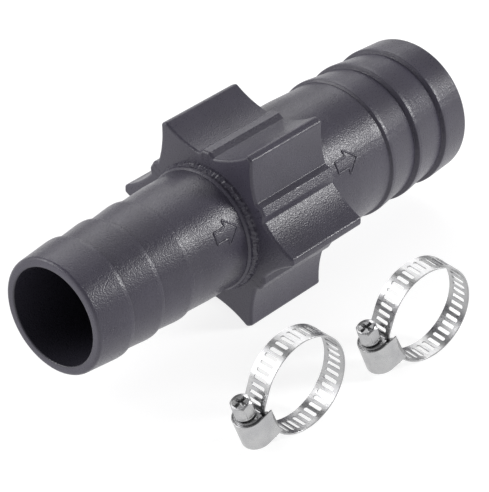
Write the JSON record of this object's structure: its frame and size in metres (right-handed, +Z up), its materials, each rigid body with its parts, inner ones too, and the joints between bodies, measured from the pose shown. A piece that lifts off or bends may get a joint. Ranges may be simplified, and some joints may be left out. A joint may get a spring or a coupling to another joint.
{
  "type": "inline hose check valve",
  "caption": "Inline check valve with a star-shaped grip hub, a barbed hose tail at each end, one larger than the other, a spring-loaded poppet, and two worm-drive hose clamps.",
  "frame": {"origin": "middle of the grip hub, on the flow axis", "axes": "+X along the flow axis from the smaller inlet tail to the larger outlet tail, +Z up, square to the floor that the hub's two lower points and the clamps stand on"},
  "size_m": [0.1356, 0.0856, 0.0484],
  "materials": {
    "grey_plastic": "satin moulded, fine speckle",
    "white_acetal": "smooth moulded",
    "black_rubber": "matt",
    "steel_wire": "drawn and turned stainless",
    "polished_steel": "polished stainless"
  },
  "bodies": {
    "root": {"valve_body": "grey_plastic", "inlet_tail": "grey_plastic", "body_o_ring": "black_rubber", "stem_guide": "white_acetal", "return_spring": "steel_wire", "clamp_a_band_fixed_half": "polished_steel", "clamp_a_saddle": "polished_steel", "clamp_a_housing": "polished_steel", "clamp_b_band_fixed_half": "polished_steel", "clamp_b_saddle": "polished_steel", "clamp_b_housing": "polished_steel"},
    "poppet": {"poppet": "white_acetal", "poppet_seal": "black_rubber", "seal_retainer": "steel_wire", "retainer_screw": "steel_wire", "guide_stem": "steel_wire", "stem_clip": "steel_wire"},
    "clamp_a_screw": {"clamp_a_screw": "polished_steel"},
    "clamp_a_band": {"clamp_a_band_free_half": "polished_steel"},
    "clamp_b_screw": {"clamp_b_screw": "polished_steel"},
    "clamp_b_band": {"clamp_b_band_free_half": "polished_steel"}
  },
  "joints": [
    {"name": "poppet_slide", "type": "slide", "parent": "root", "child": "poppet", "axis": [1, 0, 0], "range_m": [0, 0.007], "stiffness_N_per_m": 150, "springref_m": -0.002, "deforming": ["return_spring"]},
    {"name": "clamp_a_screw_turn", "type": "hinge", "parent": "root", "child": "clamp_a_screw", "pos_m": [-0.05152, -0.04696, -0.01739], "axis": [0.3722, -0.0424, -0.9272], "range_deg": [-180, 360]},
    {"name": "clamp_a_band_flex", "type": "hinge", "parent": "root", "child": "clamp_a_band", "pos_m": [-0.02563, -0.04991, -0.00687], "axis": [-0.1132, -0.9936, 0], "range_deg": [-2.14, 4.23]},
    {"name": "clamp_b_screw_turn", "type": "hinge", "parent": "root", "child": "clamp_b_screw", "pos_m": [-0.00877, -0.04976, -0.01739], "axis": [0.3683, -0.0683, -0.9272], "range_deg": [-180, 360]},
    {"name": "clamp_b_band_flex", "type": "hinge", "parent": "root", "child": "clamp_b_band", "pos_m": [0.01685, -0.0545, -0.00687], "axis": [-0.1822, -0.9833, 0], "range_deg": [-2.14, 4.23]}
  ],
  "couplings": [
    {"joint": "clamp_a_band_flex", "follows": "clamp_a_screw_turn", "ratio": 0.011602},
    {"joint": "clamp_b_band_flex", "follows": "clamp_b_screw_turn", "ratio": 0.011602}
  ]
}
